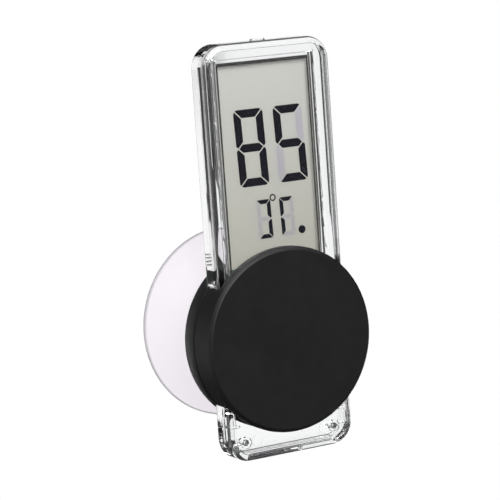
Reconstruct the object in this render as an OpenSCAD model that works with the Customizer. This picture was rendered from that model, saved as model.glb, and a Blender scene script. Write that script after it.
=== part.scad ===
// Digital aquarium thermometer on a suction cup: a clear two-shell case with an LCD,
// clamped between the two halves of a round black housing that turns on the cup.
//
// Row frame: origin at the centre of the cup's rim, where it meets the tank wall.
// +Y points into the wall, +Z up, +X to the right as a person reads the display.
// Thermometer frame: the same axes, with y = 0 in the middle of the clear case's
// thickness and z = 0 at the centre of the round housing.

/* [Clear case] */
// Width of the clear case
case_w = 30.7; // [30:0.1:31]
// Thickness of the clear case, front to back
case_t = 5.8; // [5.6:0.1:6.2]
// Height of the case above the centre of the round housing
case_top = 63.7; // [58:0.1:70]
// Length of the case below the centre of the round housing
case_foot = 25.1; // [23:0.1:28]
// Radius of the case's four corners, seen from the front
case_corner_r = 5; // [3:0.1:6]
// Rounding of the case's front edges
case_edge_r = 1.4; // [0.8:0.1:1.5]
// Rounding of the case's rear edges
case_rear_r = 0.5; // [0.3:0.1:1.4]
// Thickness of the front wall over the display
front_wall = 1.5; // [1.3:0.1:1.6]
// Distance of the joint between the two clear shells in front of the case's middle
joint_ahead = 0.45; // [0:0.05:0.6]
// Thickness of the walls around the hollow foot
foot_wall = 1.7; // [1.2:0.1:2]
// Width of the pocket that holds the display
pocket_w = 23.8; // [22.6:0.1:24]
// Thickness of the wall above the display
top_wall = 3.2; // [2.6:0.1:3.4]
// Distance behind the case's middle of the window's recess for the display
window_depth = 0.55; // [0.5:0.05:0.8]
// Distance behind the case's middle of the recess for the circuit board
board_depth = 1.4; // [1.4:0.1:1.6]

/* [Display] */
// Width of the LCD glass
lcd_w = 23.4; // [20:0.1:23.4]
// Distance of the pocket's and the LCD's middle from the case's middle, to the right
lcd_shift = -0.3; // [-0.3:0.1:0.3]
// Width of the glass that stays free outside the dark seal, on either side
seal_margin = 0.55; // [0:0.05:0.8]
// Width of the dark seal along the LCD's sides
seal_w = 0.35; // [0.3:0.05:1]
// Width of the dark seal along the LCD's top and bottom
seal_h = 0.7; // [0.3:0.1:1]
// Height of the two large digits
digit_h = 16.4; // [14:0.1:18]
// Width of the two large digits
digit_w = 7.1; // [6:0.1:7.4]
// Distance between the large digits' left edges
digit_pitch = 9.6; // [8.5:0.1:10]
// Height of the two small characters
small_h = 8.3; // [6:0.1:9]
// Width of the two small characters
small_w = 3.4; // [2.4:0.1:3.6]
// Sideways lean of the characters, per millimetre of height
lean = 0.035; // [0:0.005:0.1]

/* [Round housing] */
// Outer radius of the housing
puck_r = 20; // [18:0.1:22]
// Depth from the case's middle to the housing's front face
puck_front = 5; // [4.6:0.1:6]
// Depth from the case's middle to the housing's rear face
puck_back = 7.9; // [7.7:0.1:9]
// Wall thickness of the housing's round walls
puck_wall = 1.7; // [1.4:0.1:1.8]
// Chamfer around the front face
face_chamfer = 0.7; // [0.4:0.1:1]
// Distance from the case's middle to the seam between the halves
seam_y = 1.75; // [1:0.05:2.2]
// Width of the seam's gap
seam_gap = 0.3; // [0.2:0.05:0.5]

/* [Suction cup] */
// Outer radius of the cup's rim
cup_r = 21.2; // [19:0.1:22]
// Distance from the case's middle to the cup's rim
cup_reach = 22.9; // [21:0.1:26]
// Height of the cup's axis above the centre of the housing
cup_rise = 1; // [0:0.1:2]
// Radius of the cup's neck
neck_r = 3; // [2.5:0.1:3.5]
// Radius of the head that holds the cup in the housing
head_r = 4.5; // [4:0.1:5]

/* [Power] */
// Radius of the button cell
cell_r = 5.8; // [5.8:0.1:5.8]
// Thickness of the button cell
cell_t = 5.4; // [5.4:0.1:5.4]
// Distance of the cell's axis below the centre of the housing
cell_drop = 4; // [3.5:0.1:5]

/* [Hidden] */
$fn = 96;

eps = 0.05;                                  // working clearance between fitted pieces
over = 1;                                    // how far cutters run past what they cut
case_front_y = -case_t / 2;
case_back_y = case_t / 2;
joint_gap = 0.01;                            // half the gap between the two clear shells
joint_y = -joint_ahead;
pocket_y = case_front_y + front_wall;        // inner face of the front wall
pocket_top = case_top - top_wall;

// layers of the display, front to back
film_t = 0.15;
glass_t = 0.7;
layer_gap = 0.1;
film1_y = pocket_y + eps;
glass1_y = film1_y + film_t;
liquid_y = glass1_y + glass_t;
glass2_y = liquid_y + layer_gap;
film2_y = glass2_y + glass_t;
lcd_top = pocket_top - 0.8;
lcd_bottom = 12.5;                           // lower edge of the front glass
ledge_h = 2.5;                               // contact ledge left free by the rear glass
digit_x = -7.6;                              // left and lower edge of the first large digit
digit_z = 33.2;
small_z = 21.8;
small_x = [-3.8, 1.8];                       // left edges of the two small characters
degree_z = 30.3;                             // height of the degree ring
point = [6.7, 22.65];                        // middle of the round point

// circuit board
board_t = 0.8;
board_back = board_depth - eps;
board_y = board_back - board_t;
board_w = pocket_w - 1.2;
board_top = 16.5;
board_bottom = -14;
board_space_low = board_bottom - 2;          // lower end of the board's recess
window_foot = board_top + 0.5;               // where the window's recess meets the board's
board_hole_r = cell_r + 0.9;

// battery well and sealed opening
opening_r = 8;
collar_r = opening_r + 1.2;
collar_y = pocket_y + 1;
cell_front_y = -1.35;
cell_back_y = cell_front_y + cell_t;
well_r = cell_r + 0.3;
well_out_r = well_r + 1.6;
well_floor_y = cell_back_y + 0.2;
well_back_y = well_floor_y + 0.8;
spring_w = 2.4;                              // width of the contact springs
spring_t = 0.15;

// screws that hold the case to the rear base
screw_x = 13.5;
screw_z = 9;
screw_r = 0.85;
screw_head_r = 1.6;
screw_head_t = 0.9;
screw_end_y = 6;

// locating pins of the clear shells
pin_x = 11;
pin_z = -21.1;
pin_r = 0.65;
pin_end_y = -1.1;

// ribs, ejector marks and the moulding gate's stub on the clear shells
rib_t = 0.5;
pin_rib_x = 11.5;                            // from here to the side wall, level with the pin
side_rib_x = 12.3;                           // from here to the side wall, higher up
side_rib_z = -17.3;
rib_end_x = 14.5;
mark_x = 8.4;
mark_r = 1.3;
mark_h = 0.12;
gate_w = 3.2;
gate_h = 0.35;
gate_y = 0.5;
gate_t = 0.9;

// guide posts of the front cap
post_r = 0.9;
post_x = 17;
post_z = 4;
post_end_y = 4.8;
boss_r = 1.45;

// suction cup
rim_t = 0.7;                                 // thickness of the rim's edge
hub_r = 6;                                   // where the dome meets the hub
dome_h = 7.6;
hollow_h = 6.6;
seal_r = cup_r - 3;                          // inner edge of the flat that meets the wall
dome_steps = 12;

cap_floor_y = -puck_front + 1.4;
puck_in_r = puck_r - puck_wall;
skirt_end_y = seam_y - seam_gap / 2;
base_start_y = seam_y + seam_gap / 2;
base_floor_y = puck_back - 1;

// ---- helpers ----

// moves from the thermometer frame to the row frame
module thermometer() {
    translate([0, -cup_reach, -cup_rise]) children();
}

// extrudes an outline drawn in X and Z from y0 to y1
module slab(y0, y1) {
    translate([0, y1, 0]) rotate([90, 0, 0]) linear_extrude(y1 - y0) children();
}

// turns a profile of [radius, y] points about an axis along Y, at x and z
module turned(x = 0, z = 0) {
    translate([x, 0, z]) rotate([-90, 0, 0]) rotate_extrude() children();
}

// a round bar along Y from y0 to y1, at x and z
module bar(r, y0, y1, x = 0, z = 0) {
    translate([x, y0, z]) rotate([-90, 0, 0]) cylinder(h = y1 - y0, r = r);
}

// a box given by its two opposite corners
module block(low, high) {
    translate(low) cube(high - low);
}

// points of an arc in degrees, about [cx, cy]
function arc(cx, cy, r, from, to, steps = 6) =
    [for (i = [0 : steps]) let (a = from + (to - from) * i / steps) [cx + r * cos(a), cy + r * sin(a)]];

// ---- clear case ----

// one corner of the case: a disc with rounded edges
module corner_disc() {
    front = arc(case_corner_r - case_edge_r, case_front_y + case_edge_r, case_edge_r, -90, 0, 4);
    rear = arc(case_corner_r - case_rear_r, case_back_y - case_rear_r, case_rear_r, 0, 90, 4);
    rotate([-90, 0, 0]) rotate_extrude($fn = 40)
        polygon(concat([[0, case_front_y]], front, rear, [[0, case_back_y]]));
}

module case_solid() {
    x = case_w / 2 - case_corner_r;
    hull() for (side = [-1, 1], z = [case_corner_r - case_foot, case_top - case_corner_r])
        translate([side * x, 0, z]) corner_disc();
}

// outline of the hollow foot, as a plain rounded rectangle
module foot_outline() {
    w = case_w - 2 * foot_wall;
    r = case_corner_r - foot_wall;
    low = foot_wall - case_foot;
    translate([-w / 2, low + r]) square([w, -12 - low - r]);
    translate([r - w / 2, low]) square([w - 2 * r, 2 * r]);
    for (side = [-1, 1]) translate([side * (w / 2 - r), low + r]) circle(r);
}

module case_screw_holes(y0, y1) {
    for (sx = [-1, 1], sz = [-1, 1]) bar(screw_r + eps, y0, y1, sx * screw_x, sz * screw_z);
}

// a rib between the foot's side wall and x, on the front shell
module side_rib(side, x, z) {
    middle = (x + rib_end_x) / 2;
    half = (rib_end_x - x) / 2;
    translate([side * middle, 0, z]) block([-half, pocket_y - over, -rib_t / 2], [half, 0, rib_t / 2]);
}

// the space inside the case behind the window, down to the board's lower edge, from y0 to y1
module pocket(y0, y1, low) {
    block([lcd_shift - pocket_w / 2, y0, low], [lcd_shift + pocket_w / 2, y1, pocket_top]);
}

module case_front() color("#eef4f8", 0.3) thermometer() {
    difference() {
        intersection() {
            case_solid();
            block([-case_w, -case_t, -case_foot - over], [case_w, joint_y - joint_gap, case_top + over]);
        }
        difference() {
            union() {
                pocket(pocket_y, case_t, board_space_low);
                slab(pocket_y, case_t) foot_outline();
            }
            bar(collar_r, pocket_y - over, collar_y, 0, -cell_drop);
            for (side = [-1, 1]) {
                bar(pin_r + 0.6, pocket_y - over, 0, side * pin_x, pin_z);
                side_rib(side, pin_rib_x, pin_z);
                side_rib(side, side_rib_x, side_rib_z);
                bar(mark_r, pocket_y - over, pocket_y + mark_h, side * mark_x, pin_z);
            }
        }
        bar(opening_r, -case_t, case_t, 0, -cell_drop);
        for (side = [-1, 1]) bar(pin_r + eps, pin_end_y - 0.2, case_t, side * pin_x, pin_z);
        case_screw_holes(-case_t, case_t);
        for (sx = [-1, 1], sz = [-1, 1])
            bar(screw_head_r + 0.1, -case_t, case_front_y + screw_head_t + 0.1, sx * screw_x, sz * screw_z);
    }
}

module case_back() color("#eef4f8", 0.3) thermometer() {
    difference() {
        union() {
            intersection() {
                case_solid();
                block([-case_w, joint_y + joint_gap, -case_foot - over], [case_w, case_t, case_top + over]);
            }
            bar(well_out_r, board_depth, well_back_y, 0, -cell_drop);
            block([-gate_w / 2, gate_y, case_top - over], [gate_w / 2, gate_y + gate_t, case_top + gate_h]);
        }
        pocket(-case_t, window_depth, window_foot - over);
        difference() {
            union() {
                block([lcd_shift - pocket_w / 2, -case_t, board_space_low],
                    [lcd_shift + pocket_w / 2, board_depth, window_foot]);
                slab(-case_t, board_depth) foot_outline();
            }
            for (side = [-1, 1]) bar(pin_r, -case_t, case_t, side * pin_x, pin_z);
        }
        bar(well_r, -case_t, well_floor_y, 0, -cell_drop);
        for (side = [-1, 1])
            block([side * 3.5 - 3.5, -case_t, -cell_drop - spring_w / 2 - 0.2],
                [side * 3.5 + 3.5, well_floor_y, -cell_drop + spring_w / 2 + 0.2]);
        case_screw_holes(-case_t, case_t);
    }
    for (side = [-1, 1]) bar(pin_r, pin_end_y, board_depth + over, side * pin_x, pin_z);
}

// ---- display ----

module lcd_sheet(y0, t, low) {
    block([lcd_shift - lcd_w / 2, y0, low], [lcd_shift + lcd_w / 2, y0 + t - 0.01, lcd_top]);
}

module front_polarizer() color("#c9cac4", 0.4) thermometer()
    lcd_sheet(film1_y, film_t, lcd_bottom + ledge_h);

module lcd_front_glass() color("#dfe6e4", 0.4) thermometer() lcd_sheet(glass1_y, glass_t, lcd_bottom);

module lcd_rear_glass() color("#dfe6e4", 0.4) thermometer()
    lcd_sheet(glass2_y, glass_t, lcd_bottom + ledge_h);

module rear_polarizer() color("#b9bab2") thermometer() lcd_sheet(film2_y, film_t, lcd_bottom + ledge_h + 1);

module lcd_seal() color("#3a3a3c") thermometer() difference() {
    low = lcd_bottom + ledge_h;
    x0 = lcd_shift - lcd_w / 2 + seal_margin;
    x1 = lcd_shift + lcd_w / 2 - seal_margin;
    block([x0, liquid_y + 0.01, low], [x1, glass2_y - 0.02, lcd_top]);
    block([x0 + seal_w, -case_t, low + seal_h], [x1 - seal_w, case_t, lcd_top - seal_h]);
}

// one bar of a seven-bar character w wide, h tall and s thick, with a gap of 2 * g between
// bars and outer corners of radius c; k runs 0 top, 1 upper right, 2 lower right, 3 bottom,
// 4 lower left, 5 upper left, 6 middle
function seg_upright(w, h, s, g, c) = let (a = asin(g / c), tip = s / 4, low = h / 2 + g)
    concat([[0, low + tip], [tip, low], [s, low + s - tip], [s, h - s - g * sqrt(2)]],
        arc(c, h - c, c, 135 + a, 180, 3));
function seg_flat(w, h, s, g, c) = let (a = asin(g / c))
    concat(arc(c, h - c, c, 135 - a, 90, 3), arc(w - c, h - c, c, 90, 45 + a, 3),
        [[w - s - g * sqrt(2), h - s], [s + g * sqrt(2), h - s]]);
function seg_middle(w, h, s, g, c) = let (x = s / 4 - g + 2 * g * sqrt(2))
    [[x, h / 2], [x + s / 2, h / 2 + s / 2], [w - x - s / 2, h / 2 + s / 2],
        [w - x, h / 2], [w - x - s / 2, h / 2 - s / 2], [x + s / 2, h / 2 - s / 2]];
function flip_x(p, w) = [for (q = p) [w - q[0], q[1]]];
function flip_z(p, h) = [for (q = p) [q[0], h - q[1]]];
function seg(k, w, h, s, g, c) =
    k == 0 ? seg_flat(w, h, s, g, c) :
    k == 3 ? flip_z(seg_flat(w, h, s, g, c), h) :
    k == 6 ? seg_middle(w, h, s, g, c) :
    k == 5 ? seg_upright(w, h, s, g, c) :
    k == 4 ? flip_z(seg_upright(w, h, s, g, c), h) :
    k == 1 ? flip_x(seg_upright(w, h, s, g, c), w) :
    flip_x(flip_z(seg_upright(w, h, s, g, c), h), w);
function leaned(p) = [for (q = p) [q[0] - lean * q[1], q[1]]];

module large_digit(x, lit) {
    translate([x, digit_z]) for (k = lit) polygon(leaned(seg(k, digit_w, digit_h, 1.75, 0.13, 1.1)));
}

module small_character(x, lit) {
    translate([x, small_z]) for (k = lit) polygon(leaned(seg(k, small_w, small_h, 0.9, 0.08, 0.45)));
}

module lcd_segments() color("#26262e") thermometer() slab(liquid_y + 0.02, glass2_y - 0.03) {
    large_digit(digit_x, [0, 1, 2, 3, 4, 5, 6]);
    large_digit(digit_x + digit_pitch, [0, 2, 3, 5, 6]);
    small_character(small_x[0], [0, 1, 2, 3]);
    small_character(small_x[1], [0, 5, 4]);
    translate([0, degree_z]) difference() {
        circle(0.76);
        circle(0.48);
    }
    translate(point) circle(0.86);
}

// ---- electronics ----

module zebra_strip() color("#d98aa0") thermometer()
    block([-10, liquid_y + 0.02, lcd_bottom + 0.2], [10, board_y - 0.02, lcd_bottom + ledge_h - 0.3]);

module circuit_board() color("#2c7a4b") thermometer() difference() {
    block([-board_w / 2, board_y, board_bottom], [board_w / 2, board_back, board_top]);
    bar(board_hole_r, -case_t, case_t, 0, -cell_drop);
}

module chip_blob() color("#17171a") thermometer()
    turned(0, 8.3) polygon(concat([[0, board_y - 0.02]], [[2.9, board_y - 0.02]],
        [for (i = [1 : 6]) [2.9 * cos(i * 15), board_y - 0.02 - 0.9 * sin(i * 15)]]));

module thermistor() color("#1d1d20") thermometer() {
    translate([0, board_y - 0.5, board_bottom - 1.6]) sphere(0.95);
    for (side = [-1, 1]) translate([side * 0.45, board_y - 0.2, board_bottom - 1.2])
        cylinder(h = 3.2, r = 0.16);
}

module chip_resistors() color("#202022") thermometer() for (i = [0 : 2])
    block([-9.6, board_y - 0.47, 6.2 + i * 1.7], [-8, board_y - 0.02, 7 + i * 1.7]);

module chip_capacitors() color("#b08a5a") thermometer() for (i = [0, 1])
    block([7.8, board_y - 0.8, 6.4 + i * 2.4], [9.8, board_y - 0.02, 7.7 + i * 2.4]);

// spring against the side of the cell
module contact_positive() color("#d8d2b0") thermometer() {
    block([cell_r + 0.04, -0.9, -cell_drop - spring_w / 2], [cell_r + 0.19, 3.6, -cell_drop + spring_w / 2]);
    block([cell_r + 0.1, board_y - 0.17, -cell_drop - spring_w / 2],
        [board_w / 2 - 0.6, board_y - 0.02, -cell_drop + spring_w / 2]);
}

// spring under the cell
module contact_negative() color("#d8d2b0") thermometer() {
    x = -cell_r - 0.6;
    block([x, well_floor_y - 0.02 - spring_t, -cell_drop - spring_w / 2],
        [3, well_floor_y - 0.02, -cell_drop + spring_w / 2]);
    block([x, board_y - 0.17, -cell_drop - spring_w / 2],
        [x + spring_t, well_floor_y - 0.02, -cell_drop + spring_w / 2]);
    block([-board_w / 2 + 0.6, board_y - 0.17, -cell_drop - spring_w / 2],
        [x + spring_t, board_y - 0.02, -cell_drop + spring_w / 2]);
}

// ---- button cell ----

module cell_can() color("#c8c9cc") thermometer() difference() {
    turned(0, -cell_drop) polygon(concat([[0, cell_front_y]],
        arc(cell_r - 0.4, cell_front_y + 0.4, 0.4, -90, 0, 4),
        [[cell_r, cell_back_y - 0.5], [cell_r - 0.3, cell_back_y - 0.25], [0, cell_back_y - 0.25]]));
    bar(cell_r - 0.5, cell_back_y - 0.8, case_t, 0, -cell_drop);
}

module cell_gasket() color("#3c5a8c") thermometer() difference() {
    bar(cell_r - 0.52, cell_back_y - 0.78, cell_back_y - 0.15, 0, -cell_drop);
    bar(cell_r - 0.9, -case_t, case_t, 0, -cell_drop);
}

module cell_cap() color("#b9babd") thermometer()
    bar(cell_r - 0.92, cell_back_y - 0.78, cell_back_y, 0, -cell_drop);

// ---- round housing ----

module case_passage(back) {
    w = case_w / 2 + 0.1;
    block([-w, -back, -puck_r - over], [w, back, puck_r + over]);
}

module front_cap() color("#1b1b1d") thermometer() {
    difference() {
        turned() polygon([[0, -puck_front], [puck_r - face_chamfer, -puck_front],
            [puck_r, -puck_front + face_chamfer], [puck_r, skirt_end_y], [puck_in_r, skirt_end_y],
            [puck_in_r, cap_floor_y], [0, cap_floor_y]]);
        case_passage(case_t / 2 + eps);
    }
    turned(0, -cell_drop) polygon([[6.2, cap_floor_y - 0.2], [7.85, cap_floor_y - 0.2], [7.85, -2.5],
        [6.94, -2.5], [6.94, -1.4], [7.85, -1.4], [7.85, -1.1], [6.2, -1.1]]);
    for (sx = [-1, 1], sz = [-1, 1])
        bar(post_r, cap_floor_y - 0.2, post_end_y, sx * post_x, sz * post_z);
}

module cap_o_ring() color("#0e0e0f") thermometer()
    turned(0, -cell_drop) translate([7.45, -1.95]) circle(0.49, $fn = 32);

module cell_pad() color("#4a4a4d") thermometer()
    bar(4.5, cap_floor_y + 0.02, cell_front_y - 0.03, 0, -cell_drop);

module rear_base() color("#1b1b1d") thermometer() difference() {
    union() {
        difference() {
            turned() polygon(concat([[puck_in_r, base_start_y], [puck_r, base_start_y]],
                [[puck_r, base_start_y + 1.8]], arc(puck_r - 1.9, puck_back - 1.3, 1.3, 0, 90, 5),
                [[0, puck_back], [0, base_floor_y], [puck_in_r, base_floor_y]]));
            case_passage(case_t / 2 + eps);
        }
        for (sx = [-1, 1], sz = [-1, 1]) {
            bar(boss_r, base_start_y, base_floor_y + 0.2, sx * (post_x + 0.05), sz * post_z);
            bar(1.8, case_back_y + eps, base_floor_y + 0.2, sx * screw_x, sz * screw_z);
        }
    }
    for (sx = [-1, 1], sz = [-1, 1]) {
        bar(post_r + eps, -case_t, post_end_y + 0.4, sx * post_x, sz * post_z);
        bar(screw_r + 0.02, -case_t, screw_end_y + 0.3, sx * screw_x, sz * screw_z);
    }
    bar(neck_r + eps, base_floor_y - over, puck_back + over, 0, cup_rise);
}

module base_screws() color("#a9abae") thermometer()
    for (sx = [-1, 1], sz = [-1, 1]) difference() {
        union() {
            bar(screw_head_r, case_front_y + 0.1, case_front_y + screw_head_t, sx * screw_x, sz * screw_z);
            bar(screw_r, case_front_y + screw_head_t - 0.1, screw_end_y, sx * screw_x, sz * screw_z);
        }
        for (turn = [0, 90]) translate([sx * screw_x, case_front_y, sz * screw_z]) rotate([0, turn, 0])
            cube([2, 1, 0.35], center = true);
    }

// ---- suction cup ----

// height of the cup's outer and inner surfaces behind the rim at radius r
function dome_y(r) = -rim_t - dome_h * (1 - pow((r - hub_r) / (cup_r - hub_r), 1.3));
function hollow_y(r) = -hollow_h * (1 - pow(r / seal_r, 1.7));

// outline of the cup, [radius, y] with y = 0 at the rim and negative away from the wall
module cup_profile() {
    head = base_floor_y - eps - cup_reach;
    shoulder = puck_back + eps - cup_reach;
    polygon(concat(
        [[0, head - 1.5], [head_r - 0.3, head - 1.5], [head_r, head - 1.2], [head_r, head - 0.3],
            [head_r - 0.3, head], [neck_r, head], [neck_r, shoulder], [5.4, shoulder],
            [5.8, shoulder + 0.4], [5.8, shoulder + 1.1], [4.9, shoulder + 1.8], [4.9, dome_y(hub_r) - 0.8],
            [hub_r - 0.4, dome_y(hub_r) - 0.1]],
        [for (i = [0 : dome_steps]) let (r = hub_r + (cup_r - hub_r) * i / dome_steps) [r, dome_y(r)]],
        [[cup_r, 0], [seal_r, 0]],
        [for (i = [dome_steps - 1 : -1 : 0]) let (r = seal_r * i / dome_steps) [r, hollow_y(r)]]));
}

module suction_cup() color("#f4eff8", 0.4) turned() cup_profile();

suction_cup();
case_front();
case_back();
front_polarizer();
lcd_front_glass();
lcd_seal();
lcd_segments();
lcd_rear_glass();
rear_polarizer();
zebra_strip();
circuit_board();
chip_blob();
thermistor();
chip_resistors();
chip_capacitors();
contact_positive();
contact_negative();
cell_can();
cell_gasket();
cell_cap();
rear_base();
base_screws();
front_cap();
cap_o_ring();
cell_pad();
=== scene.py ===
"""Looks of the clear LCD thermometer on its suction cup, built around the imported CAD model."""

import math

import bmesh
import bpy
from mathutils import Matrix, Vector


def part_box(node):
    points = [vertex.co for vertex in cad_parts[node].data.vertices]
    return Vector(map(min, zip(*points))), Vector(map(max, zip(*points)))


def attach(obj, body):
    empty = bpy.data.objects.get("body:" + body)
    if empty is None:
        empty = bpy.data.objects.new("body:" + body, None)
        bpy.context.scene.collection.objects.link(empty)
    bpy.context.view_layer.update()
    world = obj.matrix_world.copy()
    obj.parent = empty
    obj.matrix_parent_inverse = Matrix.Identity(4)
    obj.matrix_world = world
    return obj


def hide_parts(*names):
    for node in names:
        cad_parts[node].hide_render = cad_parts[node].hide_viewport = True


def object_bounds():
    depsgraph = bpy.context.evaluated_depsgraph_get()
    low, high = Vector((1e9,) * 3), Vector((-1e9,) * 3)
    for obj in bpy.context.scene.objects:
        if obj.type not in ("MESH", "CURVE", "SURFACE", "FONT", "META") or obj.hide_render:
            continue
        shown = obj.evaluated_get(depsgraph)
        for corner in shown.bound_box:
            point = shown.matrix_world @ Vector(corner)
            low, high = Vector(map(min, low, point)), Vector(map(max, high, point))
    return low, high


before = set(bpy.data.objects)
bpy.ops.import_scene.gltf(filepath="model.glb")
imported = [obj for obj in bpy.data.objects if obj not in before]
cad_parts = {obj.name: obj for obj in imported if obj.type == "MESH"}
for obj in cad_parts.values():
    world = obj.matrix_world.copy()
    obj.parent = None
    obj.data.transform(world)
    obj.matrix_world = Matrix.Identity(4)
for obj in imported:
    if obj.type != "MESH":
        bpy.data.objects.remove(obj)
cad_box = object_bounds()

MM = 0.001
CASE_T = 5.8 * MM

# ---- places, read from the CAD model ----

case_lo, case_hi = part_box("case_front")
rear_lo, rear_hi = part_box("case_back")
cap_lo, cap_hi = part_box("front_cap")
base_lo, base_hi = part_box("rear_base")
cup_lo, cup_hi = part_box("suction_cup")
glass_lo, glass_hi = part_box("lcd_front_glass")
seal_lo, seal_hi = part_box("lcd_seal")
segments_lo, segments_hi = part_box("lcd_segments")
ring_lo, ring_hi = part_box("cap_o_ring")
board_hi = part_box("circuit_board")[1]
can_lo, can_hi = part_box("cell_can")

PUCK_R = (cap_hi.x - cap_lo.x) / 2
PUCK_Z = (cap_lo.z + cap_hi.z) / 2
CASE_W = case_hi.x - case_lo.x
CASE_FRONT = case_lo.y
CASE_BACK = CASE_FRONT + CASE_T
CASE_MID = (CASE_FRONT + CASE_BACK) / 2
CASE_TOP = case_hi.z
CASE_LOW = case_lo.z
CELL_Z = (can_lo.z + can_hi.z) / 2

# ---- shape helpers ----

ON_AXIS = 1e-9
SAME_POINT = 1e-7
LEAST_CORNER = 1e-5


def finish_mesh(obj, angle=32):
    """Shades a mesh smooth, with sharp edges where its faces turn by more than the angle."""
    mesh = obj.data
    mesh.polygons.foreach_set("use_smooth", [True] * len(mesh.polygons))
    mesh.set_sharp_from_angle(angle=math.radians(angle))
    mesh.update()
    return obj


def true_flats(obj, angle=30):
    """Shades rounded edges smooth while the flat faces beside them stay optically flat."""
    finish_mesh(obj, angle)
    change = obj.modifiers.new("normals", "WEIGHTED_NORMAL")
    change.mode = "FACE_AREA"
    change.weight = 100
    change.keep_sharp = True
    return apply_modifiers(obj)


def mesh_object(name, verts, faces, angle=32):
    """A new mesh object with its faces turned outwards."""
    mesh = bpy.data.meshes.new(name)
    mesh.from_pydata([tuple(v) for v in verts], [], faces)
    edit = bmesh.new()
    edit.from_mesh(mesh)
    bmesh.ops.remove_doubles(edit, verts=edit.verts, dist=SAME_POINT)
    bmesh.ops.recalc_face_normals(edit, faces=edit.faces)
    edit.to_mesh(mesh)
    edit.free()
    obj = bpy.data.objects.new(name, mesh)
    bpy.context.scene.collection.objects.link(obj)
    return finish_mesh(obj, angle)


def arc(cx, cy, r, start, end, steps=6):
    """Points of an arc in degrees, both ends included."""
    points = []
    for i in range(steps + 1):
        a = math.radians(start + (end - start) * i / steps)
        points.append((cx + r * math.cos(a), cy + r * math.sin(a)))
    return points


def lathe(name, profile, x=0.0, z=0.0, segments=192, angle=32):
    """Turns a closed (radius, y) profile about an axis along Y."""
    verts = []
    rings = []
    for r, y in profile:
        if r < ON_AXIS:
            rings.append([len(verts)])
            verts.append((x, y, z))
            continue
        rings.append(range(len(verts), len(verts) + segments))
        for i in range(segments):
            a = 2 * math.pi * i / segments
            verts.append((x + r * math.cos(a), y, z + r * math.sin(a)))
    faces = []
    for k in range(len(rings)):
        a, b = rings[k], rings[(k + 1) % len(rings)]
        for i in range(segments):
            j = (i + 1) % segments
            if len(a) == 1 and len(b) == 1:
                continue
            if len(a) == 1:
                faces.append((a[0], b[j], b[i]))
            elif len(b) == 1:
                faces.append((a[i], a[j], b[0]))
            else:
                faces.append((a[i], a[j], b[j], b[i]))
    return mesh_object(name, verts, faces, angle)


def rounded_rect(x0, x1, z0, z1, r, steps=10):
    """Points of a rectangle with round corners, seen from the front."""
    points = arc(x1 - r, z1 - r, r, 0, 90, steps)
    points += arc(x0 + r, z1 - r, r, 90, 180, steps)
    points += arc(x0 + r, z0 + r, r, 180, 270, steps)
    points += arc(x1 - r, z0 + r, r, 270, 360, steps)
    return points


def loft(name, rings, angle=32):
    """Joins outlines of equal length, each a list of points, and closes both ends."""
    verts = [p for ring in rings for p in ring]
    n = len(rings[0])
    faces = [tuple(range(n)), tuple(range(len(verts) - n, len(verts)))]
    for k in range(len(rings) - 1):
        for i in range(n):
            j = (i + 1) % n
            faces.append((k * n + i, k * n + j, (k + 1) * n + j, (k + 1) * n + i))
    return mesh_object(name, verts, faces, angle)


def rounded_slab(name, x0, x1, z0, z1, corner_r, depths, steps=10):
    """A slab whose outline shrinks by the inset given at each depth: depths holds (y, inset)."""
    rings = []
    for y, inset in depths:
        r = max(corner_r - inset, LEAST_CORNER)
        outline = rounded_rect(x0 + inset, x1 - inset, z0 + inset, z1 - inset, r, steps)
        rings.append([(px, y, pz) for px, pz in outline])
    return loft(name, rings)


def edge_steps(y_flat, y_end, r, steps=6):
    """(y, inset) pairs for a rounded edge of radius r that ends in a face at y_end."""
    sign = 1 if y_end > y_flat else -1
    pairs = []
    for i in range(steps + 1):
        a = math.radians(90 * i / steps)
        pairs.append((y_end - sign * r * (1 - math.sin(a)), r * (1 - math.cos(a))))
    return pairs


def box(name, low, high):
    """A plain block, to add or to cut with."""
    lo, hi = Vector(low), Vector(high)
    verts = [(x, y, z) for x in (lo.x, hi.x) for y in (lo.y, hi.y) for z in (lo.z, hi.z)]
    faces = [(0, 1, 3, 2), (4, 6, 7, 5), (0, 4, 5, 1), (2, 3, 7, 6), (0, 2, 6, 4), (1, 5, 7, 3)]
    return mesh_object(name, verts, faces)


def rod(name, r, y0, y1, x, z, segments=64):
    """A round bar along Y."""
    return lathe(name, [(0, y0), (r, y0), (r, y1), (0, y1)], x, z, segments)


def apply_modifiers(obj):
    """Makes the modifiers' result the object's own mesh."""
    graph = bpy.context.evaluated_depsgraph_get()
    mesh = bpy.data.meshes.new_from_object(obj.evaluated_get(graph), depsgraph=graph)
    obj.modifiers.clear()
    old = obj.data
    obj.data = mesh
    bpy.data.meshes.remove(old)
    return obj


def boolean(obj, tools, operation):
    """Adds the tools to obj, or cuts them from it, and removes them."""
    for tool in tools:
        change = obj.modifiers.new("bool", "BOOLEAN")
        change.operation = operation
        change.solver = "EXACT"
        change.object = tool
        apply_modifiers(obj)
        bpy.data.objects.remove(tool)
    return obj


# ---- material helpers ----


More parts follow.
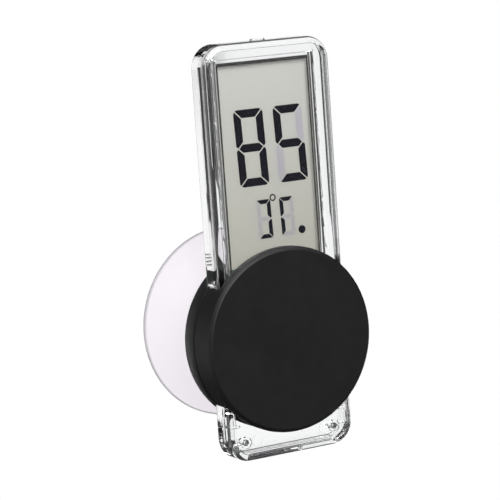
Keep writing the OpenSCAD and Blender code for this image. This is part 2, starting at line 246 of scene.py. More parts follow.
class Look:
    """A node material with a Principled shader, built up by its methods."""

    def __init__(self, name, colour, roughness, metallic=0.0):
        self.mat = bpy.data.materials.new(name)
        self.mat.use_nodes = True
        self.nodes = self.mat.node_tree.nodes
        self.links = self.mat.node_tree.links
        self.shader = self.nodes["Principled BSDF"]
        self.shader.inputs["Base Color"].default_value = (*colour, 1)
        self.shader.inputs["Roughness"].default_value = roughness
        self.shader.inputs["Metallic"].default_value = metallic
        self.place = self.nodes.new("ShaderNodeTexCoord").outputs["Object"]

    def set(self, **values):
        """Sets inputs of the Principled shader by name."""
        for key, value in values.items():
            self.shader.inputs[key.replace("_", " ")].default_value = value
        return self

    def noise(self, scale, detail=4.0, stretch=(1, 1, 1)):
        """Cloudy noise over the object."""
        mapping = self.nodes.new("ShaderNodeMapping")
        mapping.inputs["Scale"].default_value = stretch
        self.links.new(self.place, mapping.inputs["Vector"])
        texture = self.nodes.new("ShaderNodeTexNoise")
        texture.inputs["Scale"].default_value = scale
        texture.inputs["Detail"].default_value = detail
        self.links.new(mapping.outputs["Vector"], texture.inputs["Vector"])
        return texture.outputs["Fac"]

    def ramp(self, value, low, high, from_low=0.3, from_high=0.7):
        """Maps from_low to from_high onto low to high."""
        node = self.nodes.new("ShaderNodeMapRange")
        node.inputs["From Min"].default_value = from_low
        node.inputs["From Max"].default_value = from_high
        node.inputs["To Min"].default_value = low
        node.inputs["To Max"].default_value = high
        self.links.new(value, node.inputs["Value"])
        return node.outputs["Result"]

    def blend(self, factor, low, high):
        """Mixes two colours; low is a colour or another node's output."""
        mix = self.nodes.new("ShaderNodeMix")
        mix.data_type = "RGBA"
        if isinstance(low, tuple):
            mix.inputs["A"].default_value = (*low, 1)
        else:
            self.links.new(low, mix.inputs["A"])
        mix.inputs["B"].default_value = (*high, 1)
        self.links.new(factor, mix.inputs["Factor"])
        return mix.outputs["Result"]

    def vary_colour(self, value, low, high):
        """Lets the base colour drift between two tones."""
        colour = self.blend(self.ramp(value, 0, 1), low, high)
        self.links.new(colour, self.shader.inputs["Base Color"])
        return self

    def vary(self, socket, value, low, high):
        """Lets one input of the shader drift between two values."""
        self.links.new(self.ramp(value, low, high), self.shader.inputs[socket])
        return self

    def bump(self, value, height, strength):
        """Roughens the surface by a height in metres."""
        node = self.nodes.new("ShaderNodeBump")
        node.inputs["Strength"].default_value = strength
        node.inputs["Distance"].default_value = height
        self.links.new(value, node.inputs["Height"])
        self.links.new(node.outputs["Normal"], self.shader.inputs["Normal"])
        return self

    def see_through(self, tint):
        """A shader that lets light pass straight on; tint is a colour or another node's output."""
        clear = self.nodes.new("ShaderNodeBsdfTransparent")
        if isinstance(tint, tuple):
            clear.inputs["Color"].default_value = (*tint, 1)
        else:
            self.links.new(tint, clear.inputs["Color"])
        return clear.outputs["BSDF"]

    def surface(self, factor, first, second):
        """Mixes two shaders and makes the result the material's surface."""
        mix = self.nodes.new("ShaderNodeMixShader")
        self.links.new(factor, mix.inputs["Fac"])
        self.links.new(first, mix.inputs[1])
        self.links.new(second, mix.inputs[2])
        self.links.new(mix.outputs["Shader"], self.nodes["Material Output"].inputs["Surface"])
        return self

    def open_to_light(self, tint):
        """Lets shadow and diffuse rays pass straight through, so light reaches what is inside."""
        path = self.nodes.new("ShaderNodeLightPath")
        either = self.nodes.new("ShaderNodeMath")
        either.operation = "MAXIMUM"
        self.links.new(path.outputs["Is Shadow Ray"], either.inputs[0])
        self.links.new(path.outputs["Is Diffuse Ray"], either.inputs[1])
        return self.surface(either.outputs["Value"], self.shader.outputs["BSDF"], self.see_through(tint))


# Tints, tones of painted shade, and the heights of the surfaces' grain.
CASE_TINT = (0.985, 0.988, 0.99)
VINYL_TINT = (0.947, 0.925, 0.949)
# The cup's deep tone is painted shade for its rim and its edge-on parts; the rim spans set where the
# painted rim shade begins and ends.
VINYL_EDGE_SHADE = (0.62, 0.61, 0.63)
RIM_FROM, RIM_TO = 0.4 * MM, 0.15 * MM
FILM_CLOUD = 0.97
# The reflector's two tones paint shade: darker and greener at its foot, lighter at its top.
REFLECTOR_SHADED_FOOT = (0.395, 0.386, 0.343)
REFLECTOR_LIT_TOP = (0.54, 0.532, 0.515)
MOULD_GRAIN = 0.03 * MM
RIPPLE = 0.02 * MM
FINE_GRAIN = 0.01 * MM
FOAM_GRAIN = 0.1 * MM
DRIFT_SCALE, SHEEN_SCALE, GRAIN_SCALE = 600, 1200, 3600
SHEEN_LOW, SHEEN_HIGH = 0.85, 1.2


def clear_plastic():
    """Water-clear polystyrene with a faint ripple from moulding."""
    look = Look("clear_case", (0.985, 0.99, 0.992), 0.01)
    look.set(Transmission_Weight=1.0, IOR=1.5)
    look.bump(look.noise(220, 2.0, (1, 1, 0.35)), RIPPLE, 0.35)
    return look.open_to_light(CASE_TINT).mat


def soft_vinyl():
    """Soft clear vinyl: light passes nearly straight through, with a faint lilac cast; its darker rim and
    its darker edge-on parts are painted shade.
    """
    look = Look("clear_soft_vinyl", (0.97, 0.95, 0.985), 0.12)
    look.bump(look.noise(300, 3.0), RIPPLE, 0.2)
    # Painted shade: the clear tint darkens where the cup turns edge-on to the view.
    facing = look.nodes.new("ShaderNodeLayerWeight")
    facing.inputs["Blend"].default_value = 0.12
    edge_shade_mask = look.ramp(facing.outputs["Facing"], 0, 1, 0.25, 0.95)
    tint = look.blend(edge_shade_mask, VINYL_TINT, VINYL_EDGE_SHADE)
    flat = look.nodes.new("ShaderNodeVectorMath")
    flat.operation = "MULTIPLY"
    flat.inputs[1].default_value = (1, 0, 1)
    look.links.new(look.place, flat.inputs[0])
    radius = look.nodes.new("ShaderNodeVectorMath")
    radius.operation = "LENGTH"
    look.links.new(flat.outputs["Vector"], radius.inputs[0])
    # Painted shade: a darker ring at the cup's rim.
    rim_shade_mask = look.ramp(radius.outputs["Value"], 0, 1, cup_hi.x - RIM_FROM, cup_hi.x - RIM_TO)
    clear = look.see_through(look.blend(rim_shade_mask, tint, VINYL_EDGE_SHADE))
    milk = look.ramp(look.noise(45, 3.0), 0.05, 0.08)
    return look.surface(milk, clear, look.shader.outputs["BSDF"]).mat


def satin_black():
    """Black plastic with a fine spark-eroded mould texture."""
    look = Look("housing_black", (0.008, 0.008, 0.009), 0.42)
    look.set(Specular_IOR_Level=0.3)
    look.vary_colour(look.noise(90, 3.0), (0.007, 0.007, 0.0078), (0.009, 0.009, 0.0098))
    look.vary("Roughness", look.noise(400, 5.0), 0.4, 0.46)
    look.bump(look.noise(9000, 3.0), MOULD_GRAIN, 0.25)
    return look.mat


def tinted_film(name, tint, gloss):
    """A thin clear layer: tinted, with a faint surface reflection."""
    look = Look(name, tint, 0.05)
    cloud = look.ramp(look.noise(60, 2.0), FILM_CLOUD, 1.0)
    clear = look.see_through(look.blend(cloud, tuple(c * FILM_CLOUD for c in tint), tint))
    fresnel = look.nodes.new("ShaderNodeFresnel")
    fresnel.inputs["IOR"].default_value = 1.0 + gloss
    glossy = look.nodes.new("ShaderNodeBsdfGlossy")
    glossy.inputs["Roughness"].default_value = 0.04
    return look.surface(fresnel.outputs["Fac"], clear, glossy.outputs["BSDF"]).mat


def reflector_film():
    """The grey reflector behind the display, with painted shade that makes it a little darker and greener
    towards the bottom.
    """
    look = Look("reflector_film", (0.6, 0.6, 0.57), 0.5)
    split = look.nodes.new("ShaderNodeSeparateXYZ")
    look.links.new(look.place, split.inputs["Vector"])
    # Painted shade: the tone runs from the darker foot up to the lighter top.
    height = look.ramp(split.outputs["Z"], 0, 1, seal_lo.z, seal_hi.z)
    look.links.new(look.blend(height, REFLECTOR_SHADED_FOOT, REFLECTOR_LIT_TOP), look.shader.inputs["Base Color"])
    look.bump(look.noise(4000, 2.0), FINE_GRAIN, 0.2)
    return look.mat


def plain_look(name, low, high, roughness, metallic=0.0, grain=FINE_GRAIN):
    """A solid colour that drifts between two close tones, with a fine surface."""
    look = Look(name, low, roughness, metallic)
    look.vary_colour(look.noise(DRIFT_SCALE), low, high)
    look.vary("Roughness", look.noise(SHEEN_SCALE), roughness * SHEEN_LOW, min(1, roughness * SHEEN_HIGH))
    look.bump(look.noise(GRAIN_SCALE, 3.0), grain, 0.3)
    return look.mat


METAL_LOW, METAL_HIGH = (0.72, 0.66, 0.5), (0.8, 0.74, 0.58)
GLASS_TINT = (0.998, 0.999, 0.998)

CLEAR = clear_plastic()
VINYL = soft_vinyl()
BLACK = satin_black()
LOOKS = {
    "front_polarizer": tinted_film("polarizer_film", (0.995, 0.995, 0.99), 0.06),
    "lcd_front_glass": tinted_film("lcd_glass", GLASS_TINT, 0.02),
    "lcd_rear_glass": tinted_film("lcd_glass_rear", GLASS_TINT, 0.02),
    "lcd_seal": plain_look("seal_black", (0.010, 0.010, 0.010), (0.014, 0.014, 0.014), 0.7),
    "rear_polarizer": reflector_film(),
    "zebra_strip": plain_look("zebra_rubber", (0.5, 0.18, 0.25), (0.6, 0.24, 0.3), 0.7),
    "circuit_board": plain_look("board_green", (0.01, 0.10, 0.04), (0.015, 0.14, 0.055), 0.3),
    "chip_blob": plain_look("epoxy_black", (0.008, 0.008, 0.008), (0.014, 0.014, 0.014), 0.12),
    "thermistor": plain_look("epoxy_bead", (0.01, 0.01, 0.01), (0.02, 0.02, 0.02), 0.2),
    "chip_resistors": plain_look("resistor_ceramic", (0.02, 0.02, 0.02), (0.03, 0.03, 0.03), 0.4),
    "chip_capacitors": plain_look("capacitor_ceramic", (0.33, 0.2, 0.1), (0.42, 0.27, 0.14), 0.45),
    "contact_positive": plain_look("contact_metal", METAL_LOW, METAL_HIGH, 0.3, metallic=1),
    "contact_negative": plain_look("contact_metal_b", METAL_LOW, METAL_HIGH, 0.3, metallic=1),
    "cell_can": plain_look("cell_steel", (0.62, 0.62, 0.64), (0.72, 0.72, 0.74), 0.28, metallic=1),
    "cell_cap": plain_look("cell_steel_cap", (0.55, 0.55, 0.57), (0.66, 0.66, 0.68), 0.34, metallic=1),
    "cell_gasket": plain_look("gasket_blue", (0.03, 0.07, 0.2), (0.05, 0.1, 0.26), 0.5),
    "base_screws": plain_look("screw_steel", (0.5, 0.5, 0.52), (0.6, 0.6, 0.62), 0.3, metallic=1),
    "cap_o_ring": plain_look("seal_rubber", (0.01, 0.01, 0.01), (0.016, 0.016, 0.016), 0.55),
    "cell_pad": plain_look("foam_grey", (0.05, 0.05, 0.055), (0.09, 0.09, 0.095), 0.95, grain=FOAM_GRAIN),
    "suction_cup": VINYL,
    "case_front": CLEAR,
    "case_back": CLEAR,
    "front_cap": BLACK,
    "rear_base": BLACK,
}


def dress_cad_nodes():
    """Gives every carried-over CAD node its material."""
    for name, mat in LOOKS.items():
        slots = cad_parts[name].material_slots
        for slot in slots:
            slot.material = mat


def add_piece(obj, body, mat, replaced=()):
    """Gives a finished piece its material, parents it to its body's empty and hides the CAD nodes that it
    stands for.
    """
    obj.data.materials.clear()
    obj.data.materials.append(mat)
    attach(obj, body)
    if replaced:
        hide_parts(*replaced)
    return obj


# ---- clear case ----

EDGE_R = 1.4 * MM
REAR_R = 0.5 * MM
CORNER_R = 5 * MM
LCD_X = (glass_lo.x + glass_hi.x) / 2
POCKET_HALF = 11.9 * MM
POCKET_R = 0.4 * MM
POCKET_SOFT = 0.2 * MM
POCKET_LOW = PUCK_Z - 16 * MM
TOP_WALL = 3.2 * MM
WINDOW_DEPTH = 0.55 * MM
BOARD_DEPTH = 1.4 * MM
WINDOW_FOOT = board_hi.z + 0.5 * MM
FRONT_WALL = 1.5 * MM
FOOT_WALL = 1.7 * MM
POCKET_Y = CASE_FRONT + FRONT_WALL
FOOT_TOP = PUCK_Z - 12 * MM
GROOVE_W, GROOVE_D = 0.16 * MM, 0.07 * MM

# Fine channels that the weld leaves beside the pocket.
WELD_IN = 0.42 * MM
WELD_R = 0.13 * MM
WELD_LOW = PUCK_Z + 17 * MM
WELD_HIGH = CASE_TOP - TOP_WALL + 0.3 * MM
WELD_STEPS, WELD_SIDES = 240, 10

# V-shaped channels in the left rail and in the bottom wall.
VEE_IN, VEE_HALF, VEE_DEEP = 0.95 * MM, 0.36 * MM, 0.4 * MM
VEE_FROM, VEE_END = 39 * MM, 30 * MM
VEE_TIP, VEE_MOUTH = 0.03 * MM, 0.05 * MM
FOOT_VEE_LOW, FOOT_VEE_HIGH = CASE_LOW + 0.25 * MM, CASE_LOW + 1.5 * MM
FOOT_VEE_DEEP, FOOT_VEE_FINE = 0.65 * MM, 0.25 * MM
FOOT_VEE_X, FOOT_VEE_TAPER = 2 * MM, 1 * MM

# Pins and ribs in the foot, and the marks of the mould's ejector pins.
PIN_X = 11 * MM
PIN_Z = PUCK_Z - 21.1 * MM
PIN_R, PIN_HOLE_R, PIN_POST_R = 0.65 * MM, 0.7 * MM, 1.25 * MM
PIN_END, PIN_HOLE_END = 1.1 * MM, 1.3 * MM
RIB_LOW = PUCK_Z - 17.55 * MM
RIB_END = 14.4 * MM
RIBS = (
    (11.8 * MM, PIN_Z - 0.25 * MM, PIN_Z + 0.25 * MM),
    (12.3 * MM, RIB_LOW, RIB_LOW + 0.5 * MM),
)
MARK_R, MARK_X, MARK_T = 1.3 * MM, 8.4 * MM, 0.08 * MM

SCREW_X = 13.5 * MM
SCREW_Z = 9 * MM
SCREW_HOLE_R, SCREW_SINK_R, SCREW_SINK_DEEP = 0.9 * MM, 1.7 * MM, 1 * MM
RING_R, RING_T = 9.2 * MM, 1 * MM
OPENING_R, OPENING_DEEP = 8 * MM, 2 * MM
WELL_R, WELL_HOLE_R, WELL_FLOOR = 7.7 * MM, 6.1 * MM, 0.8 * MM
SLOT_X, SLOT_Z = 7 * MM, 1.4 * MM
GATE_HALF, GATE_R = 1.6 * MM, 0.3 * MM
GATE_FRONT, GATE_BACK = CASE_MID + 0.5 * MM, CASE_MID + 1.4 * MM

# A hair's gap, how deep an added part is rooted in a wall, and how far a cutter reaches past a face.
HAIR = 0.02 * MM
ROOT = 0.5 * MM
OVER = 1 * MM
BIG = 60 * MM


def four_places(x, z):
    """Four places about the housing's centre."""
    return [(sx * x, PUCK_Z + sz * z) for sx in (-1, 1) for sz in (-1, 1)]


def pocket_cutter(low, high, front, back):
    """The space behind the window, with a soft edge at its floor, which is at front."""
    depths = [(back, 0)] + edge_steps(back, front, POCKET_SOFT, 3)
    return rounded_slab("cut", LCD_X - POCKET_HALF, LCD_X + POCKET_HALF, low, high, POCKET_R, depths, 4)


def foot_cutter(front, back):
    """The hollow in the case's foot."""
    depths = [(back, 0)] + edge_steps(back, front, POCKET_SOFT, 3)
    left, right = case_lo.x + FOOT_WALL, case_hi.x - FOOT_WALL
    return rounded_slab("cut", left, right, CASE_LOW + FOOT_WALL, FOOT_TOP, CORNER_R - FOOT_WALL, depths, 8)


def case_front_shell():
    """The front half of the clear case, with the cell's opening, the pin posts and the ribs."""
    joint = case_hi.y
    groove = [(CASE_FRONT + GROOVE_D, EDGE_R + GROOVE_W / 2), (CASE_FRONT, EDGE_R + GROOVE_W)]
    outer = rounded_slab(
        "case_front_shell", case_lo.x, case_hi.x, CASE_LOW, CASE_TOP, CORNER_R,
        [(joint, 0)] + edge_steps(joint, CASE_FRONT, EDGE_R, 8) + groove, 14)
    cutters = [pocket_cutter(POCKET_LOW, CASE_TOP - TOP_WALL, POCKET_Y, joint + OVER),
               foot_cutter(POCKET_Y, joint + OVER)]
    boolean(outer, cutters, "DIFFERENCE")
    root = POCKET_Y - ROOT
    adds = [rod("add", RING_R, root, POCKET_Y + RING_T, 0, CELL_Z, 96)]
    for side in (-1, 1):
        adds.append(rod("add", PIN_POST_R, root, joint - HAIR, side * PIN_X, PIN_Z, 40))
        for near, low, high in RIBS:
            x0, x1 = sorted((side * near, side * RIB_END))
            adds.append(box("add", (x0, root, low), (x1, joint, high)))
        adds.append(rod("add", MARK_R, root, POCKET_Y + MARK_T, side * MARK_X, PIN_Z, 40))
    boolean(outer, adds, "UNION")
    cuts = [rod("cut", OPENING_R, CASE_FRONT - OVER, POCKET_Y + OPENING_DEEP, 0, CELL_Z, 96)]
    hole_end = CASE_MID - PIN_HOLE_END
    for side in (-1, 1):
        cuts.append(rod("cut", PIN_HOLE_R, hole_end, joint + OVER, side * PIN_X, PIN_Z, 32))
    for x, z in four_places(SCREW_X, SCREW_Z):
        cuts.append(rod("cut", SCREW_HOLE_R, CASE_FRONT - OVER, joint + OVER, x, z, 32))
        cuts.append(rod("cut", SCREW_SINK_R, CASE_FRONT - OVER, CASE_FRONT + SCREW_SINK_DEEP, x, z, 40))
    boolean(outer, cuts, "DIFFERENCE")
    true_flats(outer)
    return add_piece(outer, "thermometer", CLEAR, ["case_front"])


def weld_channel(x, y, low, high):
    """A fine wavy channel, with drops along it, as a weld leaves beside the pocket."""
    rings = []
    for i in range(WELD_STEPS + 1):
        t = i / WELD_STEPS
        z = low + (high - low) * t
        drop = max(0, math.sin(47 * t + 2 * math.sin(9 * t))) ** 6
        r = WELD_R * (1 + 0.35 * math.sin(61 * t) + 0.9 * drop)
        middle = x + WELD_R * (0.5 * math.sin(23 * t + 1) + 0.4 * math.sin(71 * t))
        ring = []
        for k in range(WELD_SIDES):
            a = 2 * math.pi * k / WELD_SIDES
            ring.append((middle + r * math.cos(a), y + r * math.sin(a), z))
        rings.append(ring)
    return loft("cut", rings, 50)


def vee_channel(y, sections, along_x):
    """A V-shaped channel; each section is (place along it, one edge, the other edge, depth)."""
    rings = []
    for along, a, b, deep in sections:
        profile = [(a, -VEE_MOUTH), (b, -VEE_MOUTH), (b, 0), ((a + b) / 2, deep), (a, 0)]
        if along_x:
            rings.append([(along, y + depth, side) for side, depth in profile])
        else:
            rings.append([(side, y + depth, along) for side, depth in profile])
    return loft("cut", rings, 20)


def weld_channels(joint):
    """The V-shaped channels in the left rail and in the bottom wall."""
    right = LCD_X - POCKET_HALF - VEE_IN + VEE_HALF
    left = right - 2 * VEE_HALF
    rail = [
        (PUCK_Z + VEE_END, right - VEE_TIP, right, VEE_TIP),
        (PUCK_Z + VEE_FROM, left, right, VEE_DEEP),
        (CASE_TOP - TOP_WALL, left, right, VEE_DEEP),
    ]
    fine = FOOT_VEE_HIGH - 2 * FOOT_VEE_FINE
    foot = [
        (case_lo.x + CORNER_R, FOOT_VEE_LOW, FOOT_VEE_HIGH, FOOT_VEE_DEEP),
        (FOOT_VEE_X, FOOT_VEE_LOW, FOOT_VEE_HIGH, FOOT_VEE_DEEP),
        (FOOT_VEE_X + FOOT_VEE_TAPER, fine, FOOT_VEE_HIGH, FOOT_VEE_FINE),
        (case_hi.x - CORNER_R, fine, FOOT_VEE_HIGH, FOOT_VEE_FINE),
    ]
    return [vee_channel(joint, rail, False), vee_channel(joint, foot, True)]


def case_back_shell():
    """The back half of the clear case, with the cell's well, the pins and the mould's gate."""
    joint = case_hi.y + HAIR
    window_floor = CASE_MID + WINDOW_DEPTH
    board_floor = CASE_MID + BOARD_DEPTH
    outer = rounded_slab(
        "case_back_shell", case_lo.x, case_hi.x, CASE_LOW, CASE_TOP, CORNER_R,
        [(joint, 0)] + edge_steps(joint, CASE_BACK, REAR_R, 6), 14)
    open_y = joint - OVER
    board_space = pocket_cutter(POCKET_LOW, WINDOW_FOOT, board_floor, open_y)
    window_space = pocket_cutter(WINDOW_FOOT - OVER, CASE_TOP - TOP_WALL, window_floor, open_y)
    boolean(outer, [window_space, board_space, foot_cutter(board_floor, open_y)], "DIFFERENCE")
    gate = rounded_slab("add", -GATE_HALF, GATE_HALF, CASE_TOP - OVER, rear_hi.z, GATE_R,
                        [(GATE_FRONT, 0), (GATE_BACK, 0)], 3)
    adds = [rod("add", WELL_R, board_floor, rear_hi.y, 0, CELL_Z, 96), gate]
    for side in (-1, 1):
        adds.append(rod("add", PIN_R, CASE_MID - PIN_END, board_floor + ROOT, side * PIN_X, PIN_Z, 32))
    boolean(outer, adds, "UNION")
    for side in (-1, 1):
        x = LCD_X + side * (POCKET_HALF + WELD_IN)
        boolean(outer, [weld_channel(x, joint, WELD_LOW, WELD_HIGH)], "DIFFERENCE")
    boolean(outer, weld_channels(joint), "DIFFERENCE")
    floor_y = rear_hi.y - WELL_FLOOR
    cuts = [rod("cut", WELL_HOLE_R, rear_lo.y - OVER, floor_y, 0, CELL_Z, 96)]
    slot_low = (-SLOT_X, rear_lo.y - OVER, CELL_Z - SLOT_Z)
    cuts.append(box("cut", slot_low, (SLOT_X, floor_y, CELL_Z + SLOT_Z)))
    for x, z in four_places(SCREW_X, SCREW_Z):
        cuts.append(rod("cut", SCREW_HOLE_R, rear_lo.y - OVER, CASE_BACK + OVER, x, z, 32))
    boolean(outer, cuts, "DIFFERENCE")
    true_flats(outer)
    return add_piece(outer, "thermometer", CLEAR, ["case_back"])


# ---- display ----

# Millimetres from the housing's centre. Sizes are width, height, stroke, half gap and corner cut.
DIGIT_X, DIGIT_Z, DIGIT_PITCH = -7.6, 33.2, 9.6
SMALL_X, SMALL_Z = (-3.8, 1.8), 21.8
DIGIT_SIZES = (7.1, 16.4, 1.75, 0.13, 1.1)
SMALL_SIZES = (3.4, 8.3, 0.9, 0.08, 0.45)
POINT_X, POINT_Z, POINT_R = 6.7, 22.65, 0.86
LEAN = 0.035
ALL_BARS = (0, 1, 2, 3, 4, 5, 6)

DEGREE_IN, DEGREE_OUT, DEGREE_Z = 0.48 * MM, 0.76 * MM, 30.3 * MM
BAR_ROUND = 0.09 * MM
ELECTRODE_T = 0.02 * MM


def bar_outline(k, w, h, s, g, c):
    """One bar of a seven-bar character, numbered and shaped as in the CAD model, in millimetres."""
    a = math.degrees(math.asin(g / c))
    tip = s / 4
    low = h / 2 + g
    diagonal = g * math.sqrt(2)
    x = tip - g + 2 * diagonal
    if k == 6:
        points = [(x, h / 2), (x + s / 2, h / 2 + s / 2), (w - x - s / 2, h / 2 + s / 2),
                  (w - x, h / 2), (w - x - s / 2, h / 2 - s / 2), (x + s / 2, h / 2 - s / 2)]
    elif k in (0, 3):
        points = arc(c, h - c, c, 135 - a, 90, 6) + arc(w - c, h - c, c, 90, 45 + a, 6)
        points += [(w - s - diagonal, h - s), (s + diagonal, h - s)]
    else:
        points = [(0, low + tip), (tip, low), (s, low + s - tip), (s, h - s - diagonal)]
        points += arc(c, h - c, c, 135 + a, 180, 6)
    if k in (1, 2):
        points = [(w - px, pz) for px, pz in points]
    if k in (2, 3, 4):
        points = [(px, h - pz) for px, pz in points]
    return [(px - LEAN * pz, pz) for px, pz in points]


def characters():
    """(x, z, sizes, lit bars) of each character, in millimetres from the housing's centre."""
    return [
        (DIGIT_X, DIGIT_Z, DIGIT_SIZES, ALL_BARS),
        (DIGIT_X + DIGIT_PITCH, DIGIT_Z, DIGIT_SIZES, (0, 2, 3, 5, 6)),
        (SMALL_X[0], SMALL_Z, SMALL_SIZES, (0, 1, 2, 3)),
        (SMALL_X[1], SMALL_Z, SMALL_SIZES, (0, 5, 4)),
    ]


def bars_of(lit):
    """Outlines of the lit or of the unlit bars of every character."""
    outlines = []
    for x, z, sizes, bars in characters():
        for k in ALL_BARS:
            if (k in bars) == lit:
                outlines.append([(px + x, pz + z) for px, pz in bar_outline(k, *sizes)])
    return outlines


def flat_plates(name, outlines, y0, y1, rounding):
    """Thin plates with rounded corners, one for each outline of (x, z) millimetres."""
    edit = bmesh.new()
    for points in outlines:
        verts = [edit.verts.new((px * MM, y0, PUCK_Z + pz * MM)) for px, pz in points]
        edit.faces.new(verts)
    if rounding:
        bmesh.ops.bevel(edit, geom=list(edit.verts), offset=rounding, segments=3, profile=0.5,
                        affect="VERTICES", clamp_overlap=True)
    grown = bmesh.ops.extrude_face_region(edit, geom=list(edit.faces))
    moved = [g for g in grown["geom"] if isinstance(g, bmesh.types.BMVert)]
    bmesh.ops.translate(edit, verts=moved, vec=(0, y1 - y0, 0))
    bmesh.ops.recalc_face_normals(edit, faces=edit.faces)
    mesh = bpy.data.meshes.new(name)
    edit.to_mesh(mesh)
    edit.free()
    obj = bpy.data.objects.new(name, mesh)
    bpy.context.scene.collection.objects.link(obj)
    return finish_mesh(obj)


def ring_outline(cx, cz, r, steps=40):
    """Points of a circle."""
    turns = [2 * math.pi * i / steps for i in range(steps)]
    return [(cx + r * math.cos(a), cz + r * math.sin(a)) for a in turns]


def lcd_characters():
    """The dark parts of the display: lit bars, the degree ring and the round point."""
    ink = plain_look("lcd_ink", (0.009, 0.009, 0.014), (0.012, 0.012, 0.018), 0.6)
    ink.node_tree.nodes["Principled BSDF"].inputs["Specular IOR Level"].default_value = 0
    y0, y1 = segments_lo.y, segments_hi.y
    bars = flat_plates("lcd_characters", bars_of(True), y0, y1, BAR_ROUND)
    add_piece(bars, "thermometer", ink, ["lcd_segments"])
    dot = flat_plates("lcd_point", [ring_outline(POINT_X, POINT_Z, POINT_R)], y0, y1, 0)
    add_piece(dot, "thermometer", ink)
    ring = [(DEGREE_IN, y0), (DEGREE_OUT, y0), (DEGREE_OUT, y1), (DEGREE_IN, y1)]
    degree = lathe("lcd_degree_ring", ring, 0, PUCK_Z + DEGREE_Z, 48)
    add_piece(degree, "thermometer", ink)
    for piece in (bars, dot, degree):
        piece.visible_shadow = False
        piece.visible_diffuse = False


def lcd_electrodes():
    """Bars that are not lit: the bare electrodes show as a faint lilac tone."""
    y1 = segments_hi.y
    plates = flat_plates("lcd_electrodes", bars_of(False), y1 - ELECTRODE_T, y1, BAR_ROUND)
    mat = tinted_film("electrode_film", (0.95, 0.94, 0.985), 0.02)
    return add_piece(plates, "thermometer", mat)


# ---- round housing ----

FACE_CHAMFER = 0.7 * MM
WALL = 1.7 * MM
SOFT = 0.15 * MM
PASSAGE = CASE_W / 2 + 0.1 * MM
PASSAGE_GAP, PASSAGE_OVER = 0.05 * MM, 5 * MM
CAP_DEPTH, CAP_FACE = 6.6 * MM, 1.4 * MM
PLUG_IN, PLUG_OUT, PLUG_GROOVE = 6.2 * MM, 7.85 * MM, 6.94 * MM
RING_GAP, PLUG_LIP = 0.06 * MM, 0.36 * MM
INTO = 0.2 * MM
PEG_X, PEG_Z, PEG_R, PEG_SOFT = 17 * MM, 4 * MM, 0.9 * MM, 0.25 * MM
PEG_HOLE_R, PEG_HOLE_DEEP = 0.95 * MM, 0.4 * MM
SOCKET_X, SOCKET_R = 17.05 * MM, 1.45 * MM
BASE_FLOOR, BASE_EDGE, BASE_BACK_R, BASE_BACK_IN = 1 * MM, 1.8 * MM, 1.3 * MM, 1.9 * MM
NECK_HOLE_R = 3.05 * MM
SCREW_POST_R, SCREW_BORE_R, SCREW_BORE_END = 1.8 * MM, 0.87 * MM, 6.3 * MM


def corner(points, radius, steps=3):
    """Rounds the corners of a closed (radius, y) profile."""
    out = []
    n = len(points)
    for i, (r, y) in enumerate(points):
        here = Vector((r, y))
        before, after = Vector(points[i - 1]), Vector(points[(i + 1) % n])
        if r < ON_AXIS:
            out.append((r, y))
            continue
        a, b = before - here, after - here
        cut = min(radius, a.length * 0.45, b.length * 0.45)
        p, q = here + a.normalized() * cut, here + b.normalized() * cut
        for k in range(steps + 1):
            t = k / steps
            point = p * (1 - t) ** 2 + here * 2 * t * (1 - t) + q * t ** 2
            out.append((point.x, point.y))
    return out


def passage(front, back):
    """The space that the clear case takes through a half of the housing."""
    return box("cut", (-PASSAGE, front, PUCK_Z - BIG), (PASSAGE, back, PUCK_Z + BIG))


def cap_shell():
    """The front cap: a cup with a plug for the seal ring and four pegs."""
    front = cap_lo.y
    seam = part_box("front_cap")[0].y + CAP_DEPTH
    inner = front + CAP_FACE
    profile = [
        (0, front), (PUCK_R - FACE_CHAMFER, front), (PUCK_R, front + FACE_CHAMFER), (PUCK_R, seam),
        (PUCK_R - WALL, seam), (PUCK_R - WALL, inner), (0, inner),
    ]
    shell = lathe("cap_shell", corner(profile, SOFT), 0, PUCK_Z, 256)
    boolean(shell, [passage(CASE_FRONT - PASSAGE_GAP, seam + PASSAGE_OVER)], "DIFFERENCE")
    start = inner - INTO
    near, far = ring_lo.y - RING_GAP, ring_hi.y + RING_GAP
    end = ring_hi.y + PLUG_LIP
    plug = [
        (PLUG_IN, start), (PLUG_OUT, start), (PLUG_OUT, near), (PLUG_GROOVE, near),
        (PLUG_GROOVE, far), (PLUG_OUT, far), (PLUG_OUT, end), (PLUG_IN, end),
    ]
    adds = [lathe("add", plug, 0, CELL_Z, 128)]
    for x, z in four_places(PEG_X, PEG_Z):
        peg = corner([(0, start), (PEG_R, start), (PEG_R, cap_hi.y), (0, cap_hi.y)], PEG_SOFT)
        adds.append(lathe("add", peg, x, z, 32))
    boolean(shell, adds, "UNION")
    true_flats(shell)
    return add_piece(shell, "cap", BLACK, ["front_cap"])


